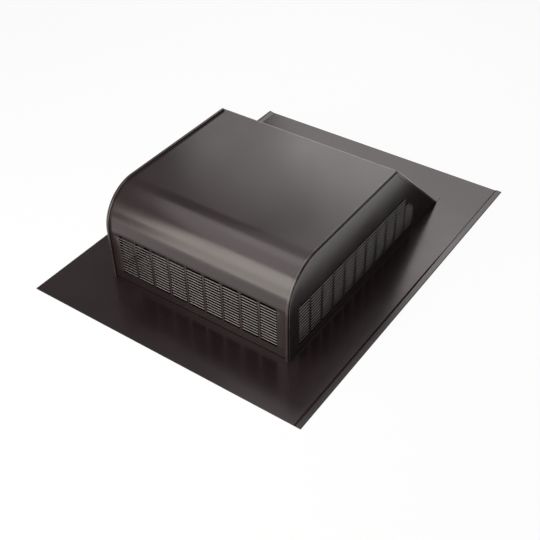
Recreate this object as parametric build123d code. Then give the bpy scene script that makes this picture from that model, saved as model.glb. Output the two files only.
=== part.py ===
from build123d import *
import os

# Static roof louver: a folded hood with louvered front and sides on a flat roof flashing.
# Frame: +Z up, origin at the middle of the flashing's underside, louvered front towards -Y.

# Sheet metal, used for every piece
sheet = 0.6
bend = 1.2                      # inside radius of an ordinary fold

# Flashing
flashing_width = 406.4
flashing_depth = 520.7
hem_width = 9.5                 # strip folded back over the left and right edges
hem_gap = 0.2                   # space left inside the folded hem
hem_cut = 0.4                   # cut outer corners of the hem's fold

# Throat collar: a rolled band round the flashing's hole, with tabs turned out on the flashing
throat_diameter = 203.2
collar_height = 12.7
collar_tabs = 6
tab_length = 9.5
tab_width = 14.0

# Hood, outer faces
hood_width = 274.4              # across the outside of the two seams
hood_height = 128.0             # flat top, above the underside of the flashing
front_y = -183.5                # front wall
ridge_y = 59.0                  # where the flat top turns down into the slant
heel_y = 189.0                  # where the slant meets its foot
front_radius = 53.5             # large curve between front wall and top
ridge_radius = 2.5
front_foot = 12.0               # turned in under the front wall
rear_foot = 13.0                # turned out behind the slant

# Lock seams along the hood's edges
seam_rise = 3.0                 # height of the folded rim above the hood
seam_leg = 8.0                  # outer leg, down from the top of the rim
rim_cut = 0.5                   # cut outer corners of the rim's two folds
seam_clearance = 0.3            # play between the folded rim and the side panel's edge
seam_setback = 2.5              # the rim stops this far before the ridge
slant_lip = 5.0                 # edge of the slant, turned down over the side panel

# Side panels
side_foot = 12.0                # turned in on the flashing
slant_flange = 9.0              # turned in under the slant
corner_relief = 5.0             # sheet cut away at the panel's rear corner
foot_clearance = 1.0            # between the feet of neighbouring pieces

# Louver bars: each bar keeps its lower edge in the wall and leans in towards its upper edge
bar_lean = 0.6
corner_cut = 1.8                # cut corner at the top of each column of openings

# Front louvers
front_columns = 9
front_column_width = 24.0
front_column_pitch = 26.85
front_bar_height = 1.6
front_bar_pitch = 4.37
front_sill = 13.5               # lower edge of the openings, above the underside
front_head = 0.3                # plain wall between the openings and the large curve
front_top_slot = 3.4            # least height of the free slot above the highest bar

# Side louvers
side_first_y = -164.0           # front edge of the first column
side_column_width = 22.5
side_column_pitch = 25.36
side_rows = 12
side_bar_height = 1.8
side_bar_pitch = 4.88
side_sill = 9.4
slant_margin = 24.0             # plain sheet between the openings and the slant
least_bar = 6.0                 # shortest bar beside the slanted corner
least_rows = 4                  # a column with fewer rows is left out

# Heights and places that follow from the sizes above
deck = sheet                                        # upper face of the flashing
foot_top = deck + sheet
throat = throat_diameter / 2
seam_outer = hood_width / 2                         # outer face of the seam
leg_inner = seam_outer - sheet
panel_outer = leg_inner - seam_clearance            # outer face of a side panel
panel_inner = panel_outer - sheet
rim_outer = panel_inner - seam_clearance            # outer face of the rim's inner wall
rim_inner = rim_outer - sheet
seam_end = ridge_y - seam_setback
panel_tuck = seam_rise - sheet - seam_clearance     # panel edge above the hood's outer face
side_foot_start = front_y + front_foot + foot_clearance
slant_run = heel_y - ridge_y
slant_rise = hood_height - foot_top
slant_length = (slant_run ** 2 + slant_rise ** 2) ** 0.5


def in_side_view(face, x_from, x_to):
    # Solid of a face drawn in Y and Z, between two distances along X
    return Pos(x_from, 0, 0) * extrude(Plane.YZ * face, amount=x_to - x_from)


def in_front_view(face, y_from, y_to):
    # Solid of a face drawn in X and Z, between two distances along Y
    return Pos(0, y_to, 0) * extrude(Plane.XZ * face, amount=y_to - y_from)


def polygon(*points):
    return make_face(Polyline(*points, close=True))


def folded_strip(points, radii):
    # Section of one folded sheet: its outer line with rounded folds, thickened to the right
    return make_face(offset(FilletPolyline(*points, radius=radii), amount=sheet, side=Side.RIGHT))


def lanced_bar(height, lower_edge):
    # Section of one bar: depth behind the wall's outer face, and height above the underside
    return [
        (0, lower_edge),
        (sheet, lower_edge),
        (sheet + bar_lean, lower_edge + height),
        (bar_lean, lower_edge + height),
    ]


# Flashing: one sheet with hemmed sides and a round hole
def make_flashing():
    edge = flashing_width / 2
    hem_edge = edge - hem_width
    hem_top = deck + hem_gap + sheet
    right_half = polygon(
        (0, 0),
        (edge - hem_cut, 0),
        (edge, hem_cut),
        (edge, hem_top - hem_cut),
        (edge - hem_cut, hem_top),
        (hem_edge, hem_top),
        (hem_edge, deck + hem_gap),
        (edge - sheet, deck + hem_gap),
        (edge - sheet, deck),
        (0, deck),
    )
    section = right_half + mirror(right_half, about=Plane.YZ)
    flashing = in_front_view(section, -flashing_depth / 2, flashing_depth / 2)
    return flashing - Cylinder(throat + sheet / 2, 4 * sheet)


# Throat collar: the band stands on the edge of the hole
def make_collar():
    on_deck = (Align.CENTER, Align.CENTER, Align.MIN)
    outward = (Align.MIN, Align.CENTER, Align.MIN)
    collar = Cylinder(throat + sheet, collar_height, align=on_deck)
    collar -= Cylinder(throat, collar_height, align=on_deck)
    tab = Pos(throat + sheet / 2, 0, 0) * Box(tab_length, tab_width, sheet, align=outward)
    for number in range(collar_tabs):
        collar += Rot(0, 0, 360 / collar_tabs * number) * tab
    return Pos(0, 0, deck) * collar


# Hood: front wall, curve, top, slant and feet as one folded sheet with its seam rims
def seam_rim():
    # Folded rim on the right edge: its section is carried up the front, round the curve and along the top.
    # The section is drawn in X and in the distance out from the hood's outer face.
    section = polygon(
        (rim_inner, -sheet),
        (rim_inner, seam_rise - rim_cut),
        (rim_inner + rim_cut, seam_rise),
        (seam_outer - rim_cut, seam_rise),
        (seam_outer, seam_rise - rim_cut),
        (seam_outer, seam_rise - seam_leg),
        (leg_inner, seam_rise - seam_leg),
        (leg_inner, seam_rise - sheet),
        (rim_outer, seam_rise - sheet),
        (rim_outer, -sheet),
    )
    curve_start = hood_height - front_radius
    curve_end = front_y + front_radius
    upright = Plane((0, front_y, deck), x_dir=(1, 0, 0), z_dir=(0, 0, -1))
    level = Plane((0, curve_end, hood_height), x_dir=(1, 0, 0), z_dir=(0, -1, 0))
    front = extrude(upright * section, amount=curve_start - deck, dir=(0, 0, 1))
    turn_axis = Axis((0, curve_end, curve_start), (-1, 0, 0))
    curve = revolve(Pos(0, 0, curve_start - deck) * (upright * section), turn_axis, revolution_arc=90)
    top = extrude(level * section, amount=seam_end - curve_end, dir=(0, 1, 0))
    return front + curve + top


def slant_height(y, depth):
    # Height of the line that lies a given depth under the slant's outer face
    return foot_top + ((heel_y - y) * slant_rise - depth * slant_length) / slant_run


def slant_reach(height, depth):
    # The same line the other way round: its distance along Y at a given height
    return heel_y - ((height - foot_top) * slant_run + depth * slant_length) / slant_rise


def slant_lip_face():
    # Edge of the slant that laps over the side panel, level with the seam's outer leg where they meet
    leg_end = hood_height + seam_rise - seam_leg
    edge = FilletPolyline(
        (seam_end, hood_height),
        (ridge_y, hood_height),
        (slant_reach(deck, 0), deck),
        radius=ridge_radius,
    )
    lower = Polyline(
        edge @ 1,
        (slant_reach(deck, slant_lip), deck),
        (slant_reach(leg_end, slant_lip), leg_end),
        (seam_end, leg_end),
        edge @ 0,
    )
    return make_face([edge, lower])


def front_louvers():
    # Openings and bars of the front wall
    head = hood_height - front_radius - front_head
    gap = front_bar_pitch - front_bar_height
    rows = int((head - front_top_slot - front_sill) // front_bar_pitch)
    openings = []
    bars = []
    for column in range(front_columns):
        middle = (column - (front_columns - 1) / 2) * front_column_pitch
        left = middle - front_column_width / 2
        right = middle + front_column_width / 2
        opening = polygon(
            (left, front_sill),
            (left, head - corner_cut),
            (left + corner_cut, head),
            (right - corner_cut, head),
            (right, head - corner_cut),
            (right, front_sill),
        )
        openings.append(in_front_view(opening, front_y - sheet, front_y + 2 * sheet))
        for row in range(rows):
            section = lanced_bar(front_bar_height, front_sill + gap + row * front_bar_pitch)
            face = polygon(*[(front_y + depth, height) for depth, height in section])
            bars.append(in_side_view(face, left, right))
    return openings, bars


def make_hood():
    outer_line = [
        (front_y + front_foot, deck),
        (front_y, deck),
        (front_y, hood_height),
        (ridge_y, hood_height),
        (heel_y, foot_top),
        (heel_y + rear_foot, foot_top),
    ]
    fold_radii = [bend + sheet, front_radius, ridge_radius, bend]
    section = folded_strip(outer_line, fold_radii)
    slant_part = polygon(
        (seam_end, 0),
        (seam_end, hood_height + sheet),
        (heel_y + 2 * rear_foot, hood_height + sheet),
        (heel_y + 2 * rear_foot, 0),
    )
    hood = in_side_view(section, -rim_outer, rim_outer)
    hood += in_side_view(section & slant_part, -seam_outer, seam_outer)
    edge = seam_rim() + in_side_view(slant_lip_face(), leg_inner, seam_outer)
    hood += [edge, mirror(edge, about=Plane.YZ)]
    openings, bars = front_louvers()
    return hood - openings + bars


# Side panels: louvered end sheets, made on the right and mirrored
def panel_plate():
    # Flat end sheet: its front and top edges stand in the seam, its slanted edge lies under the slant
    rear = heel_y - corner_relief
    inside_top = hood_height - sheet
    front_edge = front_y - panel_tuck
    top_edge = hood_height + panel_tuck
    step = seam_end - seam_clearance
    fold_start = deck + sheet + bend
    front = FilletPolyline(
        (front_edge, deck),
        (front_edge, top_edge),
        (step, top_edge),
        radius=front_radius + panel_tuck,
    )
    back = FilletPolyline(
        (step, inside_top),
        (slant_reach(inside_top, sheet), inside_top),
        (rear, slant_height(rear, sheet)),
        radius=ridge_radius - sheet,
    )
    lower = Polyline(back @ 1, (rear, fold_start), (side_foot_start, fold_start), (side_foot_start, deck), front @ 0)
    return in_side_view(make_face([front, Line(front @ 1, back @ 0), back, lower]), panel_inner, panel_outer)


def panel_flanges():
    # Foot on the flashing, and flange under the slant
    rear = heel_y - corner_relief
    fold_top = deck + 2 * (sheet + bend)
    foot_line = [(panel_outer - side_foot, deck), (panel_outer, deck), (panel_outer, fold_top)]
    foot_path = FilletPolyline(*foot_line, radius=sheet + bend)
    foot = make_face(offset(foot_path, amount=sheet, side=Side.LEFT))
    flange_start = ridge_y + ridge_radius
    flange = polygon(
        (flange_start, slant_height(flange_start, sheet)),
        (rear, slant_height(rear, sheet)),
        (rear, slant_height(rear, 2 * sheet)),
        (flange_start, slant_height(flange_start, 2 * sheet)),
    )
    return [
        in_front_view(foot, side_foot_start, rear),
        in_side_view(flange, panel_outer - slant_flange, panel_inner),
    ]


def side_louvers():
    # Openings and bars of the right panel, the rearmost columns cut off along the slant
    gap = side_bar_pitch - side_bar_height
    head = side_sill + side_rows * side_bar_pitch + gap
    limit = slant_margin + sheet
    openings = []
    bars = []
    front = side_first_y
    while slant_height(front + least_bar, limit) > side_sill + least_rows * side_bar_pitch:
        rear = front + side_column_width
        top = min(head, slant_height(front + least_bar, limit))
        top_end = min(rear - corner_cut, slant_reach(top, limit))
        corner = min(top - corner_cut, slant_height(rear, limit))
        opening = polygon(
            (front, side_sill),
            (front, top - corner_cut),
            (front + corner_cut, top),
            (top_end, top),
            (rear, corner),
            (rear, side_sill),
        )
        hole = in_side_view(opening, panel_inner - 2 * bar_lean, panel_outer + sheet)
        openings.append(hole)
        rows = int((top - side_sill) // side_bar_pitch)
        for row in range(rows):
            section = lanced_bar(side_bar_height, side_sill + gap + row * side_bar_pitch)
            face = polygon(*[(panel_outer - depth, height) for depth, height in section])
            bars.append(in_front_view(face, front, rear) & hole)
        front += side_column_pitch
    return openings, bars


def make_right_panel():
    openings, bars = side_louvers()
    panel = panel_plate() + panel_flanges()
    return panel - openings + bars


right_panel = make_right_panel()
pieces = {
    "base_flashing": make_flashing(),
    "throat_collar": make_collar(),
    "hood": make_hood(),
    "left_side_panel": mirror(right_panel, about=Plane.YZ),
    "right_side_panel": right_panel,
}
os.makedirs("parts", exist_ok=True)
for name, piece in pieces.items():
    export_step(piece, f"parts/{name}.step")
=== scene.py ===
import bpy
import numpy as np
from mathutils import Matrix


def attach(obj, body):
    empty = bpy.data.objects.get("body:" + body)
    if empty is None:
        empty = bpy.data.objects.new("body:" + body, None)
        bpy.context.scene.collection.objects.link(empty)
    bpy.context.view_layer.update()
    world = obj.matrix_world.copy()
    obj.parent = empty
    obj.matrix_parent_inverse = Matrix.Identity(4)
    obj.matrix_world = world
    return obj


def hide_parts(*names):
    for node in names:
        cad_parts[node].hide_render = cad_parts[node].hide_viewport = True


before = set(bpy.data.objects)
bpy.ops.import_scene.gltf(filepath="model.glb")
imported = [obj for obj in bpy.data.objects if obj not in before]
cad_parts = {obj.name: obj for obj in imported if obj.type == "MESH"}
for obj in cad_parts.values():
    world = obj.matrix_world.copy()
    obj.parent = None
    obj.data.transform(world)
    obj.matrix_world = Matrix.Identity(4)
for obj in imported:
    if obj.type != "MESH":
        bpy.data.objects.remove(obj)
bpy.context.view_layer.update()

print("frame loaded:", len(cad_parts), "nodes")


# Node helpers

mixFirst, mixSecond, mixResult = 6, 7, 2         # colour sockets of a Mix node


def addNode(tree, kind, place, settings=None, values=None):
    # one shader node, with its settings and the values of its unlinked sockets
    node = tree.nodes.new(kind)
    node.location = place
    for name, value in (settings or {}).items():
        setattr(node, name, value)
    for name, value in (values or {}).items():
        node.inputs[name].default_value = value
    return node


def addRange(tree, place, source, target):
    # the source span stretched on to the target span
    limits = {"From Min": source[0], "From Max": source[1], "To Min": target[0], "To Max": target[1]}
    return addNode(tree, "ShaderNodeMapRange", place, None, limits)


def newGroup(name, inputs, outputs):
    # empty shader group; every input is given as (name, kind, default), every output as (name, kind)
    tree = bpy.data.node_groups.new(name, "ShaderNodeTree")
    for label, kind, default in inputs:
        socket = tree.interface.new_socket(label, in_out="INPUT", socket_type=kind)
        if default is not None:
            socket.default_value = default
    for label, kind in outputs:
        tree.interface.new_socket(label, in_out="OUTPUT", socket_type=kind)
    return tree, addNode(tree, "NodeGroupInput", (-900, 0)), addNode(tree, "NodeGroupOutput", (600, 0))


# Paint

paintLook = {
    "colour": (0.016, 0.0094, 0.0105, 1.0),      # brown-black coil paint
    "paintedHighlight": (0.260, 0.235, 0.220, 1.0),          # painted highlight on folds, edges and bars
    "roughness": 0.22,
    "specular": 0.75,
    "glossTint": (1.0, 0.922, 0.905, 1.0),       # warm tint of the gloss
    "peelSize": 0.0016,                          # orange peel, metres
    "peelDepth": 0.0002,
    "peelStrength": 0.04,
    "cloudScale": 14.0,                          # soft mottling
    "cloudSpan": (0.3, 0.7),                     # its noise values, stretched to the two spans below
    "tintSpan": (0.88, 1.12),
    "glossSpan": (-0.03, 0.03),
    "highlightPatchScale": 90.0,                            # patches in the painted highlight
    "highlightPatchSpan": (0.3, 0.65),
    "highlightPatchShare": (0.4, 1.0),
}


def makePeelGroup(look):
    # orange peel and soft mottling: two noises on Object coordinates, out as a height, a tint and a gloss value
    inputs = [("Vector", "NodeSocketVector", None), ("Peel Size", "NodeSocketFloat", look["peelSize"])]
    outputs = [("Height", "NodeSocketFloat"), ("Tint", "NodeSocketFloat"), ("Gloss", "NodeSocketFloat")]
    tree, start, end = newGroup("paintPeel", inputs, outputs)
    link = tree.links.new
    mottling = {"Scale": look["cloudScale"], "Detail": 3.0, "Roughness": 0.55}
    scale = addNode(tree, "ShaderNodeMath", (-700, 200), {"operation": "DIVIDE"}, {0: 1.0})
    peel = addNode(tree, "ShaderNodeTexNoise", (-450, 200), None, {"Detail": 1.5, "Roughness": 0.4})
    cloud = addNode(tree, "ShaderNodeTexNoise", (-450, -100), None, mottling)
    tint = addRange(tree, (0, -50), look["cloudSpan"], look["tintSpan"])
    gloss = addRange(tree, (0, -300), look["cloudSpan"], look["glossSpan"])
    link(start.outputs["Peel Size"], scale.inputs[1])
    link(start.outputs["Vector"], peel.inputs["Vector"])
    link(start.outputs["Vector"], cloud.inputs["Vector"])
    link(scale.outputs[0], peel.inputs["Scale"])
    link(cloud.outputs["Fac"], tint.inputs["Value"])
    link(cloud.outputs["Fac"], gloss.inputs["Value"])
    link(peel.outputs["Fac"], end.inputs["Height"])
    link(tint.outputs["Result"], end.inputs["Tint"])
    link(gloss.outputs["Result"], end.inputs["Gloss"])
    return tree


def makeHighlightGroup(look):
    # painted highlight on edges and bars: the stored share times a patchy noise
    inputs = [("Vector", "NodeSocketVector", None), ("Highlight Share", "NodeSocketFloat", 0.0)]
    tree, start, end = newGroup("paintedEdgeHighlight", inputs, [("Amount", "NodeSocketFloat")])
    link = tree.links.new
    patches = {"Scale": look["highlightPatchScale"], "Detail": 3.0, "Roughness": 0.6}
    patch = addNode(tree, "ShaderNodeTexNoise", (-450, 100), None, patches)
    patchy = addRange(tree, (-200, 100), look["highlightPatchSpan"], look["highlightPatchShare"])
    amount = addNode(tree, "ShaderNodeMath", (100, 0), {"operation": "MULTIPLY"})
    link(start.outputs["Vector"], patch.inputs["Vector"])
    link(patch.outputs["Fac"], patchy.inputs["Value"])
    link(patchy.outputs["Result"], amount.inputs[0])
    link(start.outputs["Highlight Share"], amount.inputs[1])
    link(amount.outputs[0], end.inputs["Amount"])
    return tree


def makePaint(name, look, peelGroup, highlightGroup):
    # satin paint: base colour times the tint, turned towards a lighter colour where a highlight is painted on folds,
    # edges and bars; orange peel as bump
    material = bpy.data.materials.new(name)
    material.use_nodes = True
    tree = material.node_tree
    link = tree.links.new
    shader = tree.nodes["Principled BSDF"]
    place = addNode(tree, "ShaderNodeTexCoord", (-1100, 0))
    peel = addNode(tree, "ShaderNodeGroup", (-850, 0), {"node_tree": peelGroup}, {"Peel Size": look["peelSize"]})
    colour = addNode(tree, "ShaderNodeVectorMath", (-450, 150), {"operation": "SCALE"}, {0: look["colour"][:3]})
    rough = addNode(tree, "ShaderNodeMath", (-450, -50), {"operation": "ADD"}, {1: look["roughness"]})
    relief = {"Strength": look["peelStrength"], "Distance": look["peelDepth"]}
    bump = addNode(tree, "ShaderNodeBump", (-450, -250), None, relief)
    link(place.outputs["Object"], peel.inputs["Vector"])
    link(peel.outputs["Tint"], colour.inputs["Scale"])
    link(peel.outputs["Gloss"], rough.inputs[0])
    link(peel.outputs["Height"], bump.inputs["Height"])
    # each point's share of painted highlight, stored on the pieces
    stored = addNode(tree, "ShaderNodeAttribute", (-1100, 350), {"attribute_name": "highlightShare"})
    highlightAmount = addNode(tree, "ShaderNodeGroup", (-850, 350), {"node_tree": highlightGroup})
    paintedHighlight = addNode(tree, "ShaderNodeMix", (-200, 200), {"data_type": "RGBA"}, {mixSecond: look["paintedHighlight"]})
    link(place.outputs["Object"], highlightAmount.inputs["Vector"])
    link(stored.outputs["Fac"], highlightAmount.inputs["Highlight Share"])
    link(highlightAmount.outputs["Amount"], paintedHighlight.inputs[0])
    link(colour.outputs["Vector"], paintedHighlight.inputs[mixFirst])
    link(paintedHighlight.outputs[mixResult], shader.inputs["Base Color"])
    link(rough.outputs[0], shader.inputs["Roughness"])
    link(bump.outputs["Normal"], shader.inputs["Normal"])
    shader.inputs["Specular IOR Level"].default_value = look["specular"]
    shader.inputs["Specular Tint"].default_value = look["glossTint"]
    return material


paint = makePaint("paintedSheet", paintLook, makePeelGroup(paintLook), makeHighlightGroup(paintLook))
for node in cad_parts.values():
    node.data.materials[0] = paint
print("paint on", len(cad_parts), "nodes")


# Sheet pieces
# All sizes in millimetres; a piece is an outer and an inner point grid with a mask of the cells that stay.

sheetThickness = 0.6
slantRun, slantRise = 130.0, 126.8               # ridge to heel, level and upright
slantLength = np.hypot(slantRun, slantRise)
slantFall = np.array([slantRun, -slantRise]) / slantLength   # down the slant, in Y and Z
barHighlightFade = 0.5                                    # share of a bar's painted highlight lost towards its upper edge
footPart, foldPart, wallPart = 0, 1, 2           # stretches of a folded sheet, in order
topPart, ridgePart, slantPart, heelPart = 4, 5, 6, 7   # further stretches of the hood, past its curve
noLouver = -99.0                                 # a height that no louver reaches
near, slack, tiny = 0.01, 1e-4, 1e-6             # tolerances
probe = 0.02                                     # step into a bar from its lower edge
weldDigits = 5                                   # points alike to this many decimals are one
sharpAngle = 32                                  # a turn above this keeps a sharp edge, degrees


def lineSet(*parts):
    # grid lines of several lists in order, near doubles dropped
    lines = np.sort(np.concatenate([np.ravel(part) for part in parts]))
    return lines[np.append(True, np.diff(lines) > near)]


def arcPart(centre, radius, fromAngle, toAngle, count, side=1):
    # centre plus radius times the unit circle, with its normals; side -1 for a hollow fold
    angle = np.radians(np.linspace(fromAngle, toAngle, count))
    normal = np.column_stack([np.cos(angle), np.sin(angle)])
    return np.array(centre) + side * radius * normal, normal


def linePart(start, end, shares, normal):
    # start plus share times the run, all with one normal
    start, end, shares = np.array(start, float), np.array(end, float), np.ravel(shares)[:, None]
    return start + shares * (end - start), np.repeat([np.array(normal, float)], len(shares), axis=0)


def joinParts(*parts):
    # the points of all parts one after another, and their normals likewise
    return np.concatenate([part[0] for part in parts]), np.concatenate([part[1] for part in parts])


def smooth(value, low, high):
    # cubic step from 0 at low to 1 at high
    share = np.clip((value - low) / (high - low), 0, 1)
    return share * share * (3 - 2 * share)


def shellMesh(name, shells):
    # outer cells, inner cells turned round, and a wall on every edge between a kept and a dropped cell
    points, quads, highlightShares, start = [], [], [], 0
    for outer, inner, keep, highlightShare in shells:
        rows, columns = keep.shape
        index = np.arange((rows + 1) * (columns + 1)).reshape(rows + 1, columns + 1) + start
        depth = index.size
        a, b, c, d = index[:-1, :-1], index[:-1, 1:], index[1:, 1:], index[1:, :-1]
        padded = np.pad(keep, 1)
        quads += [np.stack([a, b, c, d], -1)[keep], np.stack([d, c, b, a], -1)[keep] + depth]
        for up, along, p, q in ((-1, 0, a, b), (0, 1, b, c), (1, 0, c, d), (0, -1, d, a)):
            free = keep & ~padded[1 + up:rows + 1 + up, 1 + along:columns + 1 + along]
            quads.append(np.stack([q, p, p + depth, q + depth], -1)[free])
        points += [outer.reshape(-1, 3), inner.reshape(-1, 3)]
        highlightShares += [highlightShare.ravel(), np.zeros(depth)]
        start += 2 * depth
    # points in one place are welded; a cell with two corners in one place becomes a triangle, one without width goes
    points = np.concatenate(points)
    first, twin = np.unique(np.round(points, weldDigits), axis=0, return_index=True, return_inverse=True)[1:]
    corners = first[twin.ravel()][np.concatenate(quads)]
    doubled = corners == np.roll(corners, -1, axis=1)
    count = doubled.sum(axis=1)
    whole, folded = corners[count == 0], corners[count == 1][~doubled[count == 1]]
    used, order = np.unique(np.append(whole, folded), return_inverse=True)
    faces = order[:whole.size].reshape(-1, 4).tolist() + order[whole.size:].reshape(-1, 3).tolist()
    mesh = bpy.data.meshes.new(name)
    mesh.from_pydata((points[used] / 1000).tolist(), [], faces)   # millimetres to metres
    mesh.polygons.foreach_set("use_smooth", np.ones(len(faces), bool))
    mesh.update()
    mesh.set_sharp_from_angle(angle=np.radians(sharpAngle))
    # each point's share of painted highlight, read by the paint
    mesh.attributes.new("highlightShare", "FLOAT", "POINT").data.foreach_set("value", np.concatenate(highlightShares)[used])
    piece = bpy.data.objects.new(name, mesh)
    bpy.context.scene.collection.objects.link(piece)
    mesh.materials.append(paint)
    print(name, len(used), "points", len(faces), "faces")
    return piece


def barRows(sizes):
    # lower and upper edges of the bars, from the sill up
    lower = sizes["sill"] + sizes["gap"] + np.arange(sizes["rows"]) * sizes["barPitch"]
    return np.column_stack([lower, lower + sizes["barHeight"]])


def barSteps(height, sizes):
    # number of the row at each height, the share of the bar's height there, and whether it lies on a bar
    step = (height - sizes["sill"] - sizes["gap"] + tiny) / sizes["barPitch"]
    row, overEdge = np.floor(step), step % 1 * sizes["barPitch"]
    onBar = (row >= 0) & (row < sizes["rows"]) & (overEdge < sizes["barHeight"] + slack)
    return row, overEdge / sizes["barHeight"], onBar


def dress(piece, node):
    # the piece stands for its node and moves with the one body
    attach(piece, "root")
    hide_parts(node)


# Hood

hoodSizes = {
    "frontY": -183.5, "topZ": 128.0, "ridgeY": 59.0, "heelY": 189.0,
    "deck": 0.6, "footTop": 1.2,
    "frontFoot": 12.0, "rearFoot": 13.0,
    "frontRadius": 53.5, "ridgeRadius": 2.5, "footRadius": 1.8, "heelRadius": 1.2,
    "wallLines": (2.6, 4.0, 8.0, 12.0),          # grid lines under the sill
    "rimLines": (130.8, 131.7),                  # grid lines beside the rim
    "rimInner": 132.5, "rimOuter": 137.5, "rimRise": 3.0, "rimLeg": 5.0,
    "rimFootRadius": 0.4, "rimInnerRadius": 0.5, "rimBeadRadius": 0.7,
    "groove": 1.0, "grooveFloor": 0.2,           # between the standing rim and its outer leg
    "legTop": 1.4, "legWidth": 0.7,
    "rimEnd": 56.2,                              # the rim falls to the slant's edge here
    "rimFall": (1.2, 0.6),                       # start of the fall before that point, end behind it
    "lipOuter": 137.2, "lipDepth": 5.0, "lipRadius": 1.3,
    "mitre": 22.14,                              # half the turn at the ridge, degrees
    "mitreFrom": 2.2,                            # the lip is mitred below this depth
    "mitreStep": 0.0004,                         # keeps the points on the mitre in order
    "ridgeHighlight": 0.65, "legHighlight": 0.08,            # painted highlight
    "rimHighlight": (0.02, 0.09),                      # the same, up the rim's inner side
    "lipHighlight": ((0, 0.3), (0.5, 0.75), (0.15, 0)),   # the same, along the lip's flat, fold and fall
    "columns": 9, "columnWidth": 24.0, "columnPitch": 26.85,
    "rows": 13, "gap": 3.22, "barHeight": 0.75, "barPitch": 4.37,
    "sill": 13.5, "head": 74.2, "cornerCut": 1.8,
    "lean": 0.5,                                 # upper edge of a bar behind the wall
    "barEnd": 1.2,                               # length over which a bar twists into its post
    "barThickness": 0.4,                         # upper edge of a bar, drawn out by the lancing
    "barHighlight": 0.32,                              # painted highlight on the bars
}


def hoodPath(sizes):
    # folded line of the hood in Y and Z, foot to foot, with its outward normals and the number of each part
    frontY, topZ, deck, footTop = (sizes[key] for key in ("frontY", "topZ", "deck", "footTop"))
    foldR, bigR = sizes["footRadius"], sizes["frontRadius"]
    ridgeR, heelR = sizes["ridgeRadius"], sizes["heelRadius"]
    slantNormal = np.array([-slantFall[1], slantFall[0]])
    slantAngle = np.degrees(np.arctan2(slantNormal[1], slantNormal[0]))
    bite = np.tan(np.radians((90 - slantAngle) / 2))
    ridgeCentre = np.array([sizes["ridgeY"] - ridgeR * bite, topZ - ridgeR])
    heelCentre = np.array([sizes["heelY"] + heelR * bite, footTop + heelR])
    slantStart = ridgeCentre + ridgeR * slantNormal
    slantEnd = heelCentre - heelR * slantNormal
    curveEnd = frontY + bigR
    head = [sizes["head"] - sizes["cornerCut"], sizes["head"]]
    wall = lineSet(sizes["wallLines"], [sizes["sill"]], barRows(sizes), head)
    rimFall = sizes["rimEnd"] + np.linspace(-1.4, 0.8, 9)   # close lines where the rim falls
    along = np.append(np.linspace(0.004, 0.97, 14), (rimFall - curveEnd) / (ridgeCentre[0] - curveEnd))
    down = np.append(0.003, np.linspace(0.02, 0.997, 16))
    rearEnd = (sizes["heelY"] + sizes["rearFoot"], footTop)
    parts = [
        linePart((frontY + sizes["frontFoot"], deck), (frontY + foldR, deck), [0, 0.5, 0.95], (0, -1)),
        arcPart((frontY + foldR, deck + foldR), foldR, 270, 180, 7),
        linePart((frontY, 0), (frontY, 1), wall, (-1, 0)),
        arcPart((curveEnd, topZ - bigR), bigR, 180, 90, 73),
        linePart((curveEnd, topZ), (ridgeCentre[0], topZ), along, (0, 1)),
        arcPart(ridgeCentre, ridgeR, 90, slantAngle, 9),
        linePart(slantStart, slantEnd, down, slantNormal),
        arcPart(heelCentre, heelR, slantAngle, 90, 6, -1),
        linePart((heelCentre[0], footTop), rearEnd, [0.04, 0.5, 1], (0, 1)),
    ]
    place, normal = joinParts(*parts)
    return place, normal, np.repeat(np.arange(len(parts)), [len(part[0]) for part in parts])


def hoodEdge(sizes):
    # right edge in X and height over the hood's face: rim, groove and leg, and the slant's plain lip on the same columns
    rimIn, rimOut, rise, legTop = (sizes[key] for key in ("rimInner", "rimOuter", "rimRise", "legTop"))
    footR, innerR, beadR = (sizes[key] for key in ("rimFootRadius", "rimInnerRadius", "rimBeadRadius"))
    groove, legR = sizes["groove"], sizes["legWidth"] / 2
    bead = rimOut - sizes["legWidth"] - groove
    bottom = arcPart((rimIn - footR, footR), footR, -90, 0, 5)[0]
    inside = arcPart((rimIn + innerR, rise - innerR), innerR, 180, 90, 6)[0]
    outside = arcPart((bead - beadR, rise - beadR), beadR, 90, 0, 8)[0]
    floor = arcPart((bead + groove / 2, sizes["grooveFloor"]), groove / 2, 180, 360, 9)[0]
    legRound = arcPart((rimOut - legR, legTop - legR), legR, 180, 0, 9)[0]
    leg = linePart((rimOut, legTop - legR), (rimOut, -sizes["rimLeg"]), [0.06, 0.5, 1], (1, 0))[0]
    rim = np.concatenate([bottom, inside, outside, floor, legRound, leg])
    backX = np.minimum(rim[:, 0], rimOut - sheetThickness)
    backZ = np.minimum(rim[:, 1] - sheetThickness, -sheetThickness)
    backZ[-len(leg):] = leg[:, 1]
    # painted highlight: up the rim's inner side, over its top, on the leg's rounded edge, and along the lip's fold
    upHighlight, topHighlight = sizes["rimHighlight"]
    highlight = np.concatenate([
        np.zeros(len(bottom)), np.linspace(upHighlight, topHighlight, len(inside)), np.linspace(topHighlight, 0, len(outside)),
        np.zeros(len(floor)), np.full(len(legRound), sizes["legHighlight"]), np.zeros(len(leg)),
    ])
    lipOut, lipR = sizes["lipOuter"], sizes["lipRadius"]
    fold = arcPart((lipOut - lipR, -lipR), lipR, 90, 0, 9)
    fall = linePart((lipOut, -lipR), (lipOut, -sizes["lipDepth"]), [0.06, 0.5, 1], (1, 0))
    flatCount = len(rim) - len(fold[0]) - len(fall[0])
    flat = linePart((rimIn - footR, 0), (lipOut - lipR, 0), np.linspace(0, 0.97, flatCount), (0, 1))
    lip, lipNormal = joinParts(flat, fold, fall)
    spans = zip(sizes["lipHighlight"], (flat, fold, fall))
    lipHighlight = np.concatenate([np.linspace(low, high, len(part[0])) for (low, high), part in spans])
    rimEdge = np.column_stack([rim, backX, backZ, highlight])
    return rimEdge, np.column_stack([lip, lip - sheetThickness * lipNormal, lipHighlight]), flatCount


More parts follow.
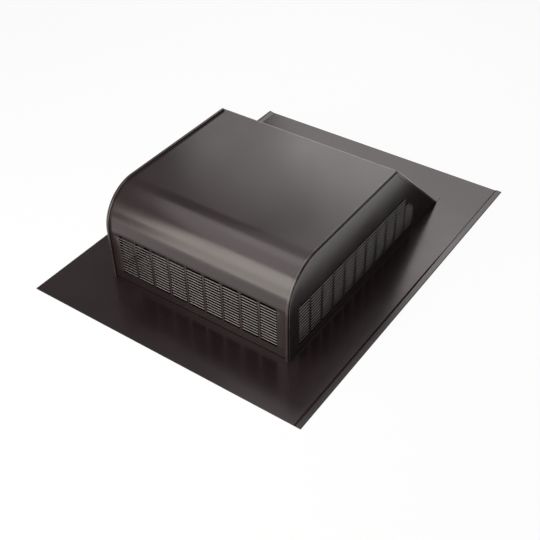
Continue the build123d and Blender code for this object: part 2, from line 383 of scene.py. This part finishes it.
def louverCells(across, height, sizes):
    # cells of the front columns: open between the bars, cut corners and bars stay
    half, pitch, outermost = sizes["columnWidth"] / 2, sizes["columnPitch"], sizes["columns"] // 2
    number = np.clip(np.round(across / pitch), -outermost, outermost)
    local = np.abs(across - number * pitch)
    share, onBar = barSteps(height, sizes)[1:]
    inside = (local[None, :] < half) & (height[:, None] > sizes["sill"]) & (height[:, None] < sizes["head"])
    corner = (local[None, :] > half - sizes["cornerCut"]) & (height[:, None] > sizes["head"] - sizes["cornerCut"])
    twist = np.clip((half - local) / sizes["barEnd"], 0, 1)
    lean = np.where(onBar, share, 0)[:, None] * twist[None, :]
    return inside & ~onBar[:, None] & ~corner, lean, local, number


def makeHood(sizes):
    # path point plus normal times the edge height, on X columns; bars lean in by their share of the lean
    path, normal, part = hoodPath(sizes)
    rim, lip, flatCount = hoodEdge(sizes)
    middles = (np.arange(sizes["columns"]) - sizes["columns"] // 2) * sizes["columnPitch"]
    half, cornerCut = sizes["columnWidth"] / 2, sizes["cornerCut"]
    offsets = np.array([0, sizes["barEnd"], cornerCut])
    besideRim = np.array(sizes["rimLines"])
    flat = lineSet(middles[:, None] + half - offsets, middles[:, None] - half + offsets, middles, -besideRim, besideRim)
    edgeCount = len(rim)
    before, behind = sizes["rimFall"]
    blend = smooth(path[:, 0], sizes["rimEnd"] - before, sizes["rimEnd"] + behind) * (part >= topPart)
    edge = (1 - blend[:, None, None]) * rim + blend[:, None, None] * lip
    zeros = np.zeros((len(path), len(flat)))
    across = [np.concatenate([-edge[:, ::-1, k], zeros + flat, edge[:, :, k]], axis=1) for k in (0, 2)]
    height = [
        np.concatenate([edge[:, ::-1, k], zeros - depth, edge[:, :, k]], axis=1)
        for k, depth in ((1, 0), (3, sheetThickness))
    ]
    isEdge = np.pad(np.zeros(len(flat), bool), edgeCount, constant_values=True)
    # the rim runs straight down to the flashing past the foot's fold
    pastFold = isEdge[None, :] & (part == foldPart)[:, None]
    pathY = np.where(pastFold, sizes["frontY"], path[:, :1])
    pathZ = np.repeat(path[:, 1:], len(isEdge), axis=1)
    turnY = np.where(pastFold, -1.0, normal[:, :1])
    turnZ = np.where(pastFold, 0.0, normal[:, 1:])
    # bars, and the cut upper corners of their openings
    lean, local, number = louverCells(flat, np.where(part == wallPart, path[:, 1], noLouver), sizes)[1:]
    lean = np.pad(lean, ((0, 0), (edgeCount, edgeCount)))
    atCut = (np.abs(path[:, 1] - sizes["head"] + cornerCut) < near) & (part == wallPart)
    cut = np.pad(np.abs(local - half + cornerCut) < near, edgeCount)[None, :] & atCut[:, None]
    side = np.pad(np.sign(flat - number * sizes["columnPitch"]), edgeCount)[None, :]
    # the lip ends on the flashing, and its inner edge is mitred under the ridge
    onTop, onRidge, onSlant = ((part == k)[:, None] for k in (topPart, ridgePart, slantPart))
    bite = np.tan(np.radians(sizes["mitre"]))
    order = np.arange(len(path))[:, None] * sizes["mitreStep"]
    grids = []
    for x, h, draw in zip(across, height, (0, sheetThickness - sizes["barThickness"])):
        h = h - (sizes["lean"] - draw) * lean
        h = np.where(onSlant & isEdge[None, :], np.maximum(h, (sizes["deck"] - pathZ) / slantFall[0]), h)
        y, z = pathY + turnY * h, pathZ + turnZ * h
        mitreY, mitreZ = sizes["ridgeY"] + bite * h, sizes["topZ"] + h
        under = isEdge[None, :] & (h < -sizes["mitreFrom"])
        early = under & onTop & (y > mitreY)
        late = under & (onRidge | (onSlant & (y < mitreY)))
        y = np.where(early | late, mitreY + order, y)
        z = np.where(late, mitreZ, z)
        grids.append(np.stack([x + cut * side * cornerCut / 2, y, z + cut * cornerCut / 2], -1))
    # cells that stay: no louver openings, no rim beside the feet, no lip past the heel
    cellPart = np.maximum(part[:-1], part[1:])
    cellLow = np.minimum(part[:-1], part[1:])
    middleX, middleZ = (flat[:-1] + flat[1:]) / 2, (path[:-1, 1] + path[1:, 1]) / 2
    onWall = (cellPart == wallPart) & (cellLow == wallPart)
    openCell = louverCells(middleX, np.where(onWall, middleZ, noLouver), sizes)[0]
    keep = np.ones((len(path) - 1, len(isEdge) - 1), bool)
    keep[:, edgeCount:edgeCount + len(flat) - 1] &= ~openCell
    edgeCell = isEdge[:-1] | isEdge[1:]
    bothEdge = isEdge[:-1] & isEdge[1:]
    foldCell = np.arange(len(isEdge) - 1)
    outer = (foldCell < edgeCount - flatCount) | (foldCell >= len(isEdge) - 1 - edgeCount + flatCount)
    keep &= ~(edgeCell[None, :] & (cellLow == footPart)[:, None])
    keep &= ~((edgeCell & ~bothEdge)[None, :] & (cellLow == foldPart)[:, None])
    keep &= ~(outer[None, :] & (cellPart >= heelPart)[:, None])
    # painted highlight on the ridge, the rim, the slant's edge and the bars
    lowEdge = louverCells(flat, np.where(part == wallPart, path[:, 1] + probe, noLouver), sizes)[1]
    onBar = np.maximum(lean, np.pad(lowEdge, ((0, 0), (edgeCount, edgeCount)))) > 0
    edgeHighlight = np.concatenate([edge[:, ::-1, 4], zeros, edge[:, :, 4]], axis=1)
    highlightShare = np.maximum(onRidge * sizes["ridgeHighlight"], edgeHighlight)
    highlightShare = np.where(onBar, sizes["barHighlight"] * (1 - barHighlightFade * lean), highlightShare)
    return shellMesh("foldedHood", [(grids[0], grids[1], keep, highlightShare)])


dress(makeHood(hoodSizes), "hood")


# Side panels

panelSizes = {
    "outerX": 136.3, "foot": 12.0, "footRadius": 1.8, "deck": 0.6,
    "frontY": -185.6, "rearY": 184.0, "footY": -170.5,
    "topZ": 130.1, "stepY": 56.2, "stepZ": 127.4,
    "curveY": -130.0, "curveZ": 74.5, "curveRadius": 55.6,
    "slantY": 189.0, "slantZ": 1.2, "slantDepth": 0.6,
    "frontLines": (0, 0.4, 1.2, 2.6, 5.0, 8.0),  # grid lines behind the front edge
    "kneeLine": 58.75, "rearLines": 150.0,       # grid lines at the ridge, and from here to the rear
    "lowerLines": (2.6, 4.0, 6.0),               # grid lines under the sill and over the head
    "upperLines": (74.0, 82.0, 92.0, 102.0, 112.0, 122.0),
    "squeeze": 12.0, "leastFree": 3.0,           # height of the squeezed rows, and least height under them
    "firstY": -164.0, "columns": 11, "columnWidth": 22.5, "columnPitch": 25.36,
    "rows": 12, "gap": 3.38, "barHeight": 1.0, "barPitch": 4.88, "sill": 9.4, "head": 71.04, "cornerCut": 1.8,
    "margin": 24.6, "leastBar": 6.0, "leastRows": 4,
    "cutFrom": 60.0,                             # bars are cut short along the slant behind this
    "lean": 0.4, "barEnd": 1.2,
    "barThickness": 0.4, "barHighlight": 0.6,
    "flange": 9.0, "flangeY": 61.5, "flangeGap": 0.02,
}


def slantLine(y, depth, sizes):
    # height of the line at a depth under the slant's face
    return sizes["slantZ"] + ((sizes["slantY"] - y) * slantRise - depth * slantLength) / slantRun


def slantAcross(z, depth, sizes):
    # the same line the other way round
    return sizes["slantY"] - ((z - sizes["slantZ"]) * slantRun + depth * slantLength) / slantRise


def panelTop(y, sizes):
    # upper edge of the end sheet: large curve, level edge in the seam, step, slant
    rise = np.sqrt(np.maximum(sizes["curveRadius"] ** 2 - np.minimum(y - sizes["curveY"], 0) ** 2, 0))
    edge = np.where(y <= sizes["stepY"] + 0.001, sizes["curveZ"] + rise, sizes["stepZ"])
    return np.minimum(edge, slantLine(y, sizes["slantDepth"], sizes))


def sideCells(y, z, sizes):
    # open cells between the bars, and the lean of the bars; the rear columns end along the slant
    number = np.clip(np.floor((y - sizes["firstY"]) / sizes["columnPitch"] + tiny), 0, sizes["columns"] - 1)
    front = sizes["firstY"] + number * sizes["columnPitch"]
    local = y - front
    top = np.minimum(sizes["head"], slantLine(front + sizes["leastBar"], sizes["margin"], sizes))
    used = top > sizes["sill"] + sizes["leastRows"] * sizes["barPitch"]
    row, share, onBar = barSteps(z, sizes)
    shortRows = (top - sizes["sill"]) // sizes["barPitch"]
    bar = onBar[:, None] & (row[:, None] < shortRows[None, :])
    width = np.minimum(sizes["columnWidth"], slantAcross(z, sizes["margin"], sizes)[:, None] - front[None, :])
    fromEnd = np.minimum(local[None, :], width - local[None, :])
    inside = used[None, :] & (fromEnd > 0) & (z[:, None] > sizes["sill"]) & (z[:, None] < top[None, :])
    corner = (fromEnd < sizes["cornerCut"]) & (z[:, None] > sizes["head"] - sizes["cornerCut"])
    lean = np.where(bar & used[None, :], share[:, None] * np.clip(fromEnd / sizes["barEnd"], 0, 1), 0)
    return inside & ~bar & ~corner, lean


def panelColumns(sizes):
    # grid lines along the panel: bar ends and their twists, bars cut along the slant, foot, step, both ends
    starts = (sizes["firstY"] + np.arange(sizes["columns"]) * sizes["columnPitch"])[:, None]
    offsets = np.array([0, sizes["barEnd"], sizes["cornerCut"]])
    cuts = slantAcross(barRows(sizes), sizes["margin"], sizes)
    y = lineSet(
        starts + offsets, starts + sizes["columnWidth"] - offsets, cuts[cuts > sizes["cutFrom"]],
        [sizes["footY"] - 0.4, sizes["footY"]], sizes["frontY"] + np.array(sizes["frontLines"]),
        [sizes["stepY"], sizes["stepY"] + 0.05], [sizes["kneeLine"]], np.linspace(sizes["rearLines"], sizes["rearY"], 6),
    )
    return y[(y >= sizes["frontY"]) & (y <= sizes["rearY"])]


def makePanel(name, sizes, side):
    # rows run in from the foot, round its fold and up the end sheet; the top rows are squeezed under the upper edge
    outerX, foldR, deck, footY = (sizes[key] for key in ("outerX", "footRadius", "deck", "footY"))
    y = panelColumns(sizes)
    head = [sizes["head"] - sizes["cornerCut"], sizes["head"]]
    plate = lineSet(sizes["lowerLines"], [sizes["sill"]], barRows(sizes), head, sizes["upperLines"], [sizes["topZ"]])
    parts = [
        linePart((outerX - sizes["foot"], deck), (outerX - foldR, deck), [0, 0.5, 0.95], (0, -1)),
        arcPart((outerX - foldR, deck + foldR), foldR, 270, 360, 7),
        linePart((outerX, 0), (outerX, 1), plate, (1, 0)),
    ]
    place, normal = joinParts(*parts)
    part = np.repeat(np.arange(len(parts)), [len(stretch[0]) for stretch in parts])
    straight = (part < wallPart)[:, None] & (y < footY - 0.2)[None, :]   # no foot in front of footY
    top = panelTop(y, sizes)
    free = np.maximum(top - sizes["squeeze"], sizes["leastFree"])
    rowZ = np.repeat(place[:, 1:], len(y), axis=1)
    squeezed = free + (top - free) * (rowZ - free) / (sizes["topZ"] - free)
    z = np.where((part == wallPart)[:, None] & (rowZ > free), squeezed, rowZ)
    x = np.where(straight, outerX, place[:, :1])
    turnX = np.where(straight, 1.0, normal[:, :1])
    turnZ = np.where(straight, 0.0, normal[:, 1:])
    lean = sideCells(y, np.where(part == wallPart, place[:, 1], noLouver), sizes)[1]
    shift = lean * sizes["lean"]
    back = shift - lean * (sheetThickness - sizes["barThickness"])
    lengthways = np.repeat(y[None, :], len(place), axis=0)
    outer = np.stack([side * (x - shift), lengthways, z], -1)
    inner = np.stack([side * (x - back - sheetThickness * turnX), lengthways, z - sheetThickness * turnZ], -1)
    # cells that stay: no louver openings, no foot in front of footY
    cellLow = np.minimum(part[:-1], part[1:])
    middleZ = np.where(cellLow == wallPart, (place[:-1, 1] + place[1:, 1]) / 2, noLouver)
    keep = ~sideCells((y[:-1] + y[1:]) / 2, middleZ, sizes)[0]
    front = y[1:] <= footY + 0.001
    keep &= ~((cellLow == footPart)[:, None] & front[None, :])
    keep &= ~((cellLow == foldPart)[:, None] & (front & (y[1:] > footY - 0.2))[None, :])
    # painted highlight on the bars, less towards their upper edges
    lowEdge = sideCells(y, np.where(part == wallPart, place[:, 1] + probe, noLouver), sizes)[1]
    onBar = (lean > 0) | (lowEdge > 0)
    highlightShare = np.where(onBar, sizes["barHighlight"] * (1 - barHighlightFade * lean), 0)
    # flange under the slant
    flangeY = np.array([sizes["flangeY"], sizes["rearY"]])
    flangeX = side * np.array([outerX - sizes["flange"], outerX - sheetThickness - sizes["flangeGap"]])
    strips = []
    for depth in (sizes["slantDepth"], sizes["slantDepth"] + sheetThickness):
        gridX, gridY = np.meshgrid(flangeX, flangeY)
        strips.append(np.stack([gridX, gridY, slantLine(gridY, depth, sizes)], -1))
    shells = [(outer, inner, keep, highlightShare), (strips[0], strips[1], np.ones((1, 1), bool), np.zeros((2, 2)))]
    if side < 0:
        shells = [tuple(grid[:, ::-1] for grid in shell) for shell in shells]
    return shellMesh(name, shells)


dress(makePanel("rightEndSheet", panelSizes, 1), "right_side_panel")
dress(makePanel("leftEndSheet", panelSizes, -1), "left_side_panel")


# Flashing

flashingSizes = {
    "halfWidth": 203.2, "halfDepth": 260.35, "thickness": 0.6,
    "hem": 9.5, "hemGap": 0.5,
    "hemEase": (6.5, 2.7),                       # length over which the left and right hem's free edge is pressed down
    "hemOver": 0.3,                              # the pressed edge reaches this far past the hem
    "tipHeight": 0.05, "leastThickness": 0.03,   # at the pressed edge
    "tuck": 0.15, "tuckGap": 0.01,               # its lower face drawn down, and kept off the sheet
    "hole": 101.9, "holeBlend": 150.0,
    "ringLines": (105, 110, 118, 128, 138),      # grid lines round the hole
    "sideLines": (175, 190, 196),                # grid lines towards the hems
}


def makeFlashing(sizes):
    # sheet with both sides folded over on top; squares round the middle are drawn in to circles for the hole
    edge, half, thick = sizes["halfWidth"], sizes["halfDepth"], sizes["thickness"]
    bendR = sizes["hemGap"] / 2
    hole, far = sizes["hole"], sizes["holeBlend"]
    core = np.linspace(-hole, hole, 37)
    ring, sides = np.append(sizes["ringLines"], far), np.array(sizes["sideLines"])
    ends = np.linspace(far, half, 9)
    main = lineSet(core, ring, -ring, -sides, sides)
    lengthways = lineSet(core, ring, -ring, ends, -ends)
    foldX, foldZ = edge - thick - bendR, thick + bendR
    angle = np.radians(np.linspace(-90, 90, 13))
    tipX = edge - sizes["hem"] - sizes["hemOver"]
    legX = np.linspace(foldX - 0.4, tipX, 16)
    faceX = np.concatenate([foldX + bendR * np.cos(angle), legX])
    backX = np.concatenate([foldX + (bendR + thick) * np.cos(angle), legX])
    faceZ, backZ = [], []
    for reach in sizes["hemEase"]:
        ease = smooth(legX, tipX, edge - sizes["hem"] + reach)
        upperZ = thick + sizes["tipHeight"] + (thick + 2 * bendR - sizes["tipHeight"]) * ease
        lowerZ = np.minimum(thick + 2 * bendR, upperZ - sizes["leastThickness"])
        lowerZ = np.maximum(lowerZ - sizes["tuck"] * (1 - ease), thick + sizes["tuckGap"])
        faceZ.append(np.concatenate([foldZ + bendR * np.sin(angle), lowerZ]))
        backZ.append(np.concatenate([foldZ + (bendR + thick) * np.sin(angle), upperZ]))
    flatZ = np.full(len(main), thick)
    x = [np.concatenate([-fold[::-1], main, fold]) for fold in (faceX, backX)]
    z = [np.concatenate([left[::-1], flat, right]) for (left, right), flat in ((faceZ, flatZ), (backZ, flatZ * 0))]
    grids = []
    for lineX, lineZ in zip(x, z):
        gridX, gridY = np.meshgrid(lineX, lengthways)
        reach = np.maximum(np.maximum(np.abs(gridX), np.abs(gridY)), tiny)
        pull = np.clip((far - reach) / (far - hole), 0, 1)
        ratio = 1 + pull * (reach / np.maximum(np.hypot(gridX, gridY), tiny) - 1)
        gridZ = np.repeat(lineZ[None, :], len(lengthways), axis=0)
        grids.append(np.stack([gridX * ratio, gridY * ratio, gridZ], -1))
    middleX, middleY = (x[0][:-1] + x[0][1:]) / 2, (lengthways[:-1] + lengthways[1:]) / 2
    keep = ~((np.abs(middleX)[None, :] < hole) & (np.abs(middleY)[:, None] < hole))
    noHighlight = np.zeros((len(lengthways), len(x[0])))
    return shellMesh("hemmedFlashing", [(grids[0], grids[1], keep, noHighlight)])


dress(makeFlashing(flashingSizes), "base_flashing")


# Studio

studio = {
    "floorSize": 12.0,
    "floorDrop": 0.0002,                         # floor under the flashing, metres
    "floorColour": (0.92, 0.92, 0.92, 1.0),
    "floorLift": 0.92,                           # share of plain white that the camera sees in the floor
    "middleHalf": (0.19, 0.25),                  # half width and depth of the floor's hidden middle
    # painted shade for the floor seen through the louver's throat
    "paintedShadeColour": (0.03, 0.03, 0.03, 1.0),
    "middleRoughness": 0.9,
    "skyLow": (0.16, 0.16, 0.16, 1.0),
    "skyHigh": (0.22, 0.22, 0.22, 1.0),
    "skySpan": (0.15, 0.55),                     # heights of the direction between which the sky changes
    # centre, direction of the light, width, height, radiance, colour
    "lamps": {
        "backLow": ((-0.25, 0.90, 0.46), (0, -1, 0), 0.82, 0.30, 1.45, (1.0, 1.0, 1.0)),
        "backHigh": ((-0.27, 0.90, 0.77), (0, -1, 0), 0.70, 0.32, 2.3, (1.0, 1.0, 1.0)),
        "backWing": ((-0.80, 0.90, 0.875), (0, -1, 0), 0.36, 0.37, 1.3, (1.0, 0.99, 1.0)),
        "keyHigh": ((-0.10, -0.90, 0.63), (0, 1, 0), 1.10, 0.58, 3.95, (0.985, 1.0, 0.935)),
        "keyLow": ((-0.04, -0.90, 0.17), (0, 1, 0), 1.04, 0.34, 3.0, (0.985, 1.0, 0.935)),
        "topWide": ((0.08, 0.16, 0.64), (0, 0, -1), 0.70, 0.80, 0.62, (1.0, 0.99, 1.0)),
        "topFront": ((-0.13, -0.305, 0.60), (0, 0, -1), 0.54, 0.51, 1.4, (1.0, 0.99, 1.0)),
    },
}


def makeFloorWhite():
    # matt white, mixed with plain white light by the share that camera, mirror and see-through rays get
    material = bpy.data.materials.new("floorWhite")
    material.use_nodes = True
    tree = material.node_tree
    link = tree.links.new
    tree.nodes.clear()
    path = addNode(tree, "ShaderNodeLightPath", (-900, 200))
    seen = addNode(tree, "ShaderNodeMath", (-600, 250), {"operation": "MAXIMUM"})
    seenThrough = addNode(tree, "ShaderNodeMath", (-400, 200), {"operation": "MAXIMUM"})
    lift = addNode(tree, "ShaderNodeMath", (-200, 200), {"operation": "MULTIPLY"}, {1: studio["floorLift"]})
    matt = addNode(tree, "ShaderNodeBsdfDiffuse", (-200, 0), None, {"Color": studio["floorColour"]})
    plain = addNode(tree, "ShaderNodeEmission", (-200, -150), None, {"Strength": 1.0})
    mix = addNode(tree, "ShaderNodeMixShader", (100, 50))
    end = addNode(tree, "ShaderNodeOutputMaterial", (300, 50))
    link(path.outputs["Is Camera Ray"], seen.inputs[0])
    link(path.outputs["Is Glossy Ray"], seen.inputs[1])
    link(seen.outputs[0], seenThrough.inputs[0])
    link(path.outputs["Is Transmission Ray"], seenThrough.inputs[1])
    link(seenThrough.outputs[0], lift.inputs[0])
    link(lift.outputs[0], mix.inputs["Fac"])
    link(matt.outputs[0], mix.inputs[1])
    link(plain.outputs[0], mix.inputs[2])
    link(mix.outputs[0], end.inputs["Surface"])
    return material


def makePaintedShadeFloor():
    # painted shade: dark and matt, under the louver only, so that the floor seen through the throat looks shaded
    material = bpy.data.materials.new("floorPaintedShade")
    material.use_nodes = True
    shader = material.node_tree.nodes["Principled BSDF"]
    shader.inputs["Base Color"].default_value = studio["paintedShadeColour"]
    shader.inputs["Roughness"].default_value = studio["middleRoughness"]
    return material


def makeFloor():
    # three by three cells just under the flashing; the middle cell lies hidden below the louver and carries the painted
    # shade
    half, (middleX, middleY) = studio["floorSize"] / 2, studio["middleHalf"]
    gridX, gridY = np.meshgrid([-half, -middleX, middleX, half], [-half, -middleY, middleY, half])
    points = np.column_stack([gridX.ravel(), gridY.ravel(), np.full(gridX.size, -studio["floorDrop"])])
    first = (np.arange(3)[:, None] * 4 + np.arange(3)).ravel()
    cells = np.column_stack([first, first + 1, first + 5, first + 4])
    mesh = bpy.data.meshes.new("floor")
    mesh.from_pydata(points.tolist(), [], cells.tolist())
    mesh.polygons.foreach_set("material_index", np.where(np.arange(9) == 4, 1, 0))
    floor = bpy.data.objects.new("floor", mesh)
    bpy.context.scene.collection.objects.link(floor)
    mesh.materials.append(makeFloorWhite())
    mesh.materials.append(makePaintedShadeFloor())


def makeSky():
    # dark grey low down, a little lighter above: a smooth ramp on the height of the direction
    world = bpy.data.worlds.new("studioSky")
    world.use_nodes = True
    tree = world.node_tree
    link = tree.links.new
    place = addNode(tree, "ShaderNodeTexCoord", (-900, 0))
    split = addNode(tree, "ShaderNodeSeparateXYZ", (-700, 0))
    rise = addRange(tree, (-500, 0), studio["skySpan"], (0.0, 1.0))
    rise.interpolation_type = "SMOOTHSTEP"
    greys = {mixFirst: studio["skyLow"], mixSecond: studio["skyHigh"]}
    blend = addNode(tree, "ShaderNodeMix", (-250, 0), {"data_type": "RGBA"}, greys)
    link(place.outputs["Generated"], split.inputs[0])
    link(split.outputs["Z"], rise.inputs["Value"])
    link(rise.outputs["Result"], blend.inputs[0])
    link(blend.outputs[mixResult], tree.nodes["Background"].inputs["Color"])
    bpy.context.scene.world = world


def placeAxes(piece, right, up, back, centre):
    # the three axes and the centre as the columns of the piece's matrix
    turned = np.eye(4)
    turned[:3] = np.column_stack([right, up, back, centre])
    piece.matrix_world = Matrix(turned.tolist())
    bpy.context.scene.collection.objects.link(piece)


def makeLamp(name, centre, shines, width, height, radiance, colour):
    # rectangular softbox; its power is radiance times pi times its area
    out = -np.array(shines, float)
    upright = np.array([0, 1, 0]) if abs(out[2]) > 0.9 else np.array([0, 0, 1])
    level = np.cross(upright, out)
    light = bpy.data.lights.new(name, "AREA")
    light.shape = "RECTANGLE"
    light.size = width
    light.size_y = height
    light.energy = radiance * np.pi * width * height
    light.color = colour
    lamp = bpy.data.objects.new(name, light)
    lamp.visible_camera = False
    placeAxes(lamp, level, np.cross(out, level), out, centre)


makeFloor()
makeSky()
for name, values in studio["lamps"].items():
    makeLamp(name, *values)
print("studio ready:", len(studio["lamps"]), "lamps")


# Camera

view = {
    "place": (0.54187, -0.77787, 0.76642),       # metres
    "heading": 35.918,                           # from -Y towards +X, degrees
    "elevation": 40.976,
    "roll": -1.343,
    "lens": 59.744, "sensor": 36.0,
}


def aimAxes(heading, elevation):
    # unit vector out along a heading and elevation, with the level and upright axes that face it
    turn, rise = np.radians([heading, elevation])
    out = np.array([-np.sin(turn) * np.cos(rise), np.cos(turn) * np.cos(rise), np.sin(rise)])
    level = np.cross([0, 0, 1], out)
    level /= np.linalg.norm(level)
    return level, np.cross(out, level), out


def makeCamera():
    # back axis from heading and elevation, level right axis, both then rolled about the line of sight
    level, upright, back = aimAxes(180 + view["heading"], view["elevation"])
    roll = np.radians(view["roll"])
    right = np.cos(roll) * level + np.sin(roll) * upright
    up = np.cos(roll) * upright - np.sin(roll) * level
    camera = bpy.data.objects.new("camera", bpy.data.cameras.new("camera"))
    camera.data.lens = view["lens"]
    camera.data.sensor_width = view["sensor"]
    placeAxes(camera, right, up, back, view["place"])
    bpy.context.scene.camera = camera


makeCamera()
bpy.context.scene.view_settings.view_transform = "Standard"
print("camera ready")
